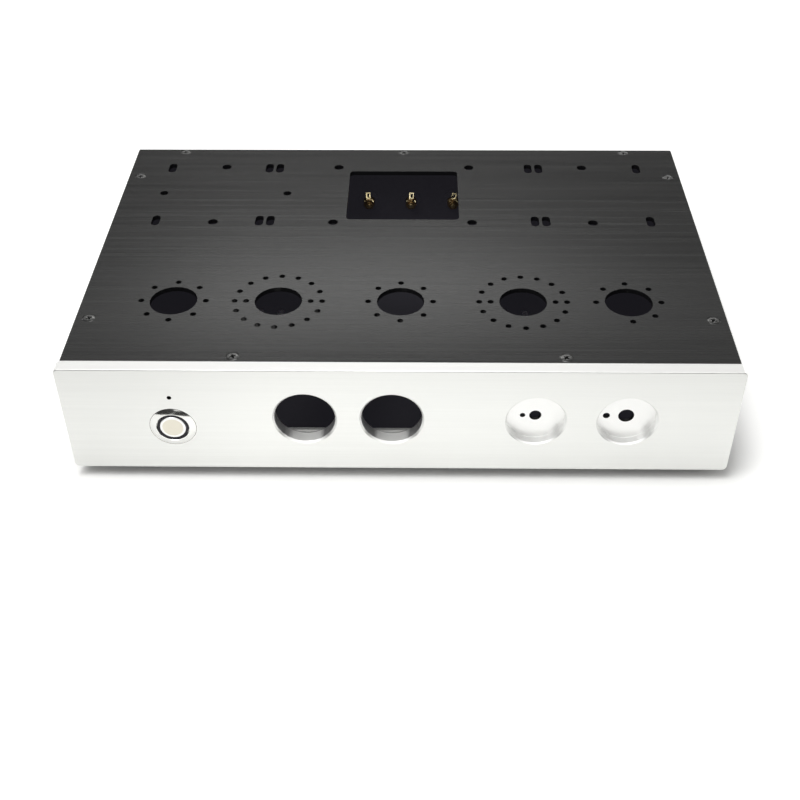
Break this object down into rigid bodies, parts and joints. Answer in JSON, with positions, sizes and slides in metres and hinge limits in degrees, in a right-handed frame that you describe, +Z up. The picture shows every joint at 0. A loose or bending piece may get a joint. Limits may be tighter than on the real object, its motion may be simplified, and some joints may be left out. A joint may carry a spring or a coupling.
{
  "type": "amplifier chassis",
  "caption": "Valve amplifier chassis: thick brushed aluminium front with meter holes, knob recesses and a power button, and a black drilled top plate.",
  "frame": {"origin": "on the floor under the middle of the bounding box", "axes": "+X to the right seen from the front, +Y from the front to the rear, +Z up"},
  "size_m": [0.3802, 0.2754, 0.0804],
  "materials": {
    "bare_aluminium": "fine horizontal brushing, clear satin",
    "mill_aluminium": "mill finish extrusion",
    "black_anodised": "black anodised over horizontal brushing",
    "black_sheet": "satin black",
    "black_screw": "black oxide, rubbed bright at the edges",
    "zinc_screw": "zinc plated",
    "foot_rubber": "matt",
    "switch_steel": "fine turned",
    "button_steel": "fine turned, slightly warm",
    "switch_halo": "dark translucent ring",
    "gold_plate": "gold plated",
    "black_plastic": "fine grain",
    "red_plastic": "fine grain"
  },
  "bodies": {
    "root": {"front_panel": "bare_aluminium", "front_angle_lower": "mill_aluminium", "top_plate": "black_anodised", "bottom_cover": "black_sheet", "side_panel_left": "black_sheet", "side_panel_right": "black_sheet", "rear_panel": "black_sheet", "front_angle_upper": "black_sheet", "top_screw_1": "black_screw", "top_screw_2": "black_screw", "top_screw_3": "black_screw", "top_screw_4": "black_screw", "top_screw_5": "black_screw", "top_screw_6": "black_screw", "top_screw_7": "black_screw", "top_screw_8": "black_screw", "top_screw_9": "black_screw", "foot_1": "foot_rubber", "foot_screw_1": "black_screw", "foot_2": "foot_rubber", "foot_screw_2": "black_screw", "foot_3": "foot_rubber", "foot_screw_3": "black_screw", "foot_4": "foot_rubber", "foot_screw_4": "black_screw", "switch_body": "switch_steel", "switch_nut": "switch_steel", "switch_halo": "switch_halo", "post_stud_1": "gold_plate", "post_lug_1": "gold_plate", "post_insulator_1": "black_plastic", "post_inner_insulator_1": "black_plastic", "phono_socket_1": "gold_plate", "post_stud_2": "gold_plate", "post_lug_2": "gold_plate", "post_insulator_2": "black_plastic", "post_inner_insulator_2": "black_plastic", "phono_socket_2": "gold_plate", "post_stud_3": "gold_plate", "post_lug_3": "gold_plate", "post_insulator_3": "black_plastic", "post_inner_insulator_3": "black_plastic", "phono_socket_3": "gold_plate", "post_stud_4": "gold_plate", "post_lug_4": "gold_plate", "post_insulator_4": "black_plastic", "post_inner_insulator_4": "black_plastic", "phono_socket_4": "gold_plate", "mains_inlet": "black_plastic", "inlet_screw_left": "zinc_screw", "inlet_screw_right": "zinc_screw"},
    "button": {"power_button": "button_steel"},
    "clamp_1": {"post_washer_1": "gold_plate"},
    "cap_1": {"post_cap_1": "black_plastic"},
    "clamp_2": {"post_washer_2": "gold_plate"},
    "cap_2": {"post_cap_2": "red_plastic"},
    "clamp_3": {"post_washer_3": "gold_plate"},
    "cap_3": {"post_cap_3": "black_plastic"},
    "clamp_4": {"post_washer_4": "gold_plate"},
    "cap_4": {"post_cap_4": "red_plastic"}
  },
  "joints": [
    {"name": "button_press", "type": "slide", "parent": "root", "child": "button", "axis": [0, 1, 0], "range_m": [0, 0.003], "stiffness_N_per_m": 400, "springref_m": -0.001},
    {"name": "clamp_travel_1", "type": "slide", "parent": "root", "child": "clamp_1", "axis": [0, 1, 0], "range_m": [0, 0.005]},
    {"name": "cap_turn_1", "type": "hinge", "parent": "clamp_1", "child": "cap_1", "pos_m": [-0.0254, 0.1293, 0.0414], "axis": [0, 1, 0], "range_deg": [0, 1800]},
    {"name": "clamp_travel_2", "type": "slide", "parent": "root", "child": "clamp_2", "axis": [0, 1, 0], "range_m": [0, 0.005]},
    {"name": "cap_turn_2", "type": "hinge", "parent": "clamp_2", "child": "cap_2", "pos_m": [0.0049, 0.1293, 0.0414], "axis": [0, 1, 0], "range_deg": [0, 1800]},
    {"name": "clamp_travel_3", "type": "slide", "parent": "root", "child": "clamp_3", "axis": [0, 1, 0], "range_m": [0, 0.005]},
    {"name": "cap_turn_3", "type": "hinge", "parent": "clamp_3", "child": "cap_3", "pos_m": [0.0352, 0.1293, 0.0414], "axis": [0, 1, 0], "range_deg": [0, 1800]},
    {"name": "clamp_travel_4", "type": "slide", "parent": "root", "child": "clamp_4", "axis": [0, 1, 0], "range_m": [0, 0.005]},
    {"name": "cap_turn_4", "type": "hinge", "parent": "clamp_4", "child": "cap_4", "pos_m": [0.0655, 0.1293, 0.0414], "axis": [0, 1, 0], "range_deg": [0, 1800]}
  ],
  "couplings": [
    {"joint": "cap_turn_1", "follows": "clamp_travel_1", "rad_per_m": 6283.2},
    {"joint": "cap_turn_2", "follows": "clamp_travel_2", "rad_per_m": 6283.2},
    {"joint": "cap_turn_3", "follows": "clamp_travel_3", "rad_per_m": 6283.2},
    {"joint": "cap_turn_4", "follows": "clamp_travel_4", "rad_per_m": 6283.2}
  ]
}
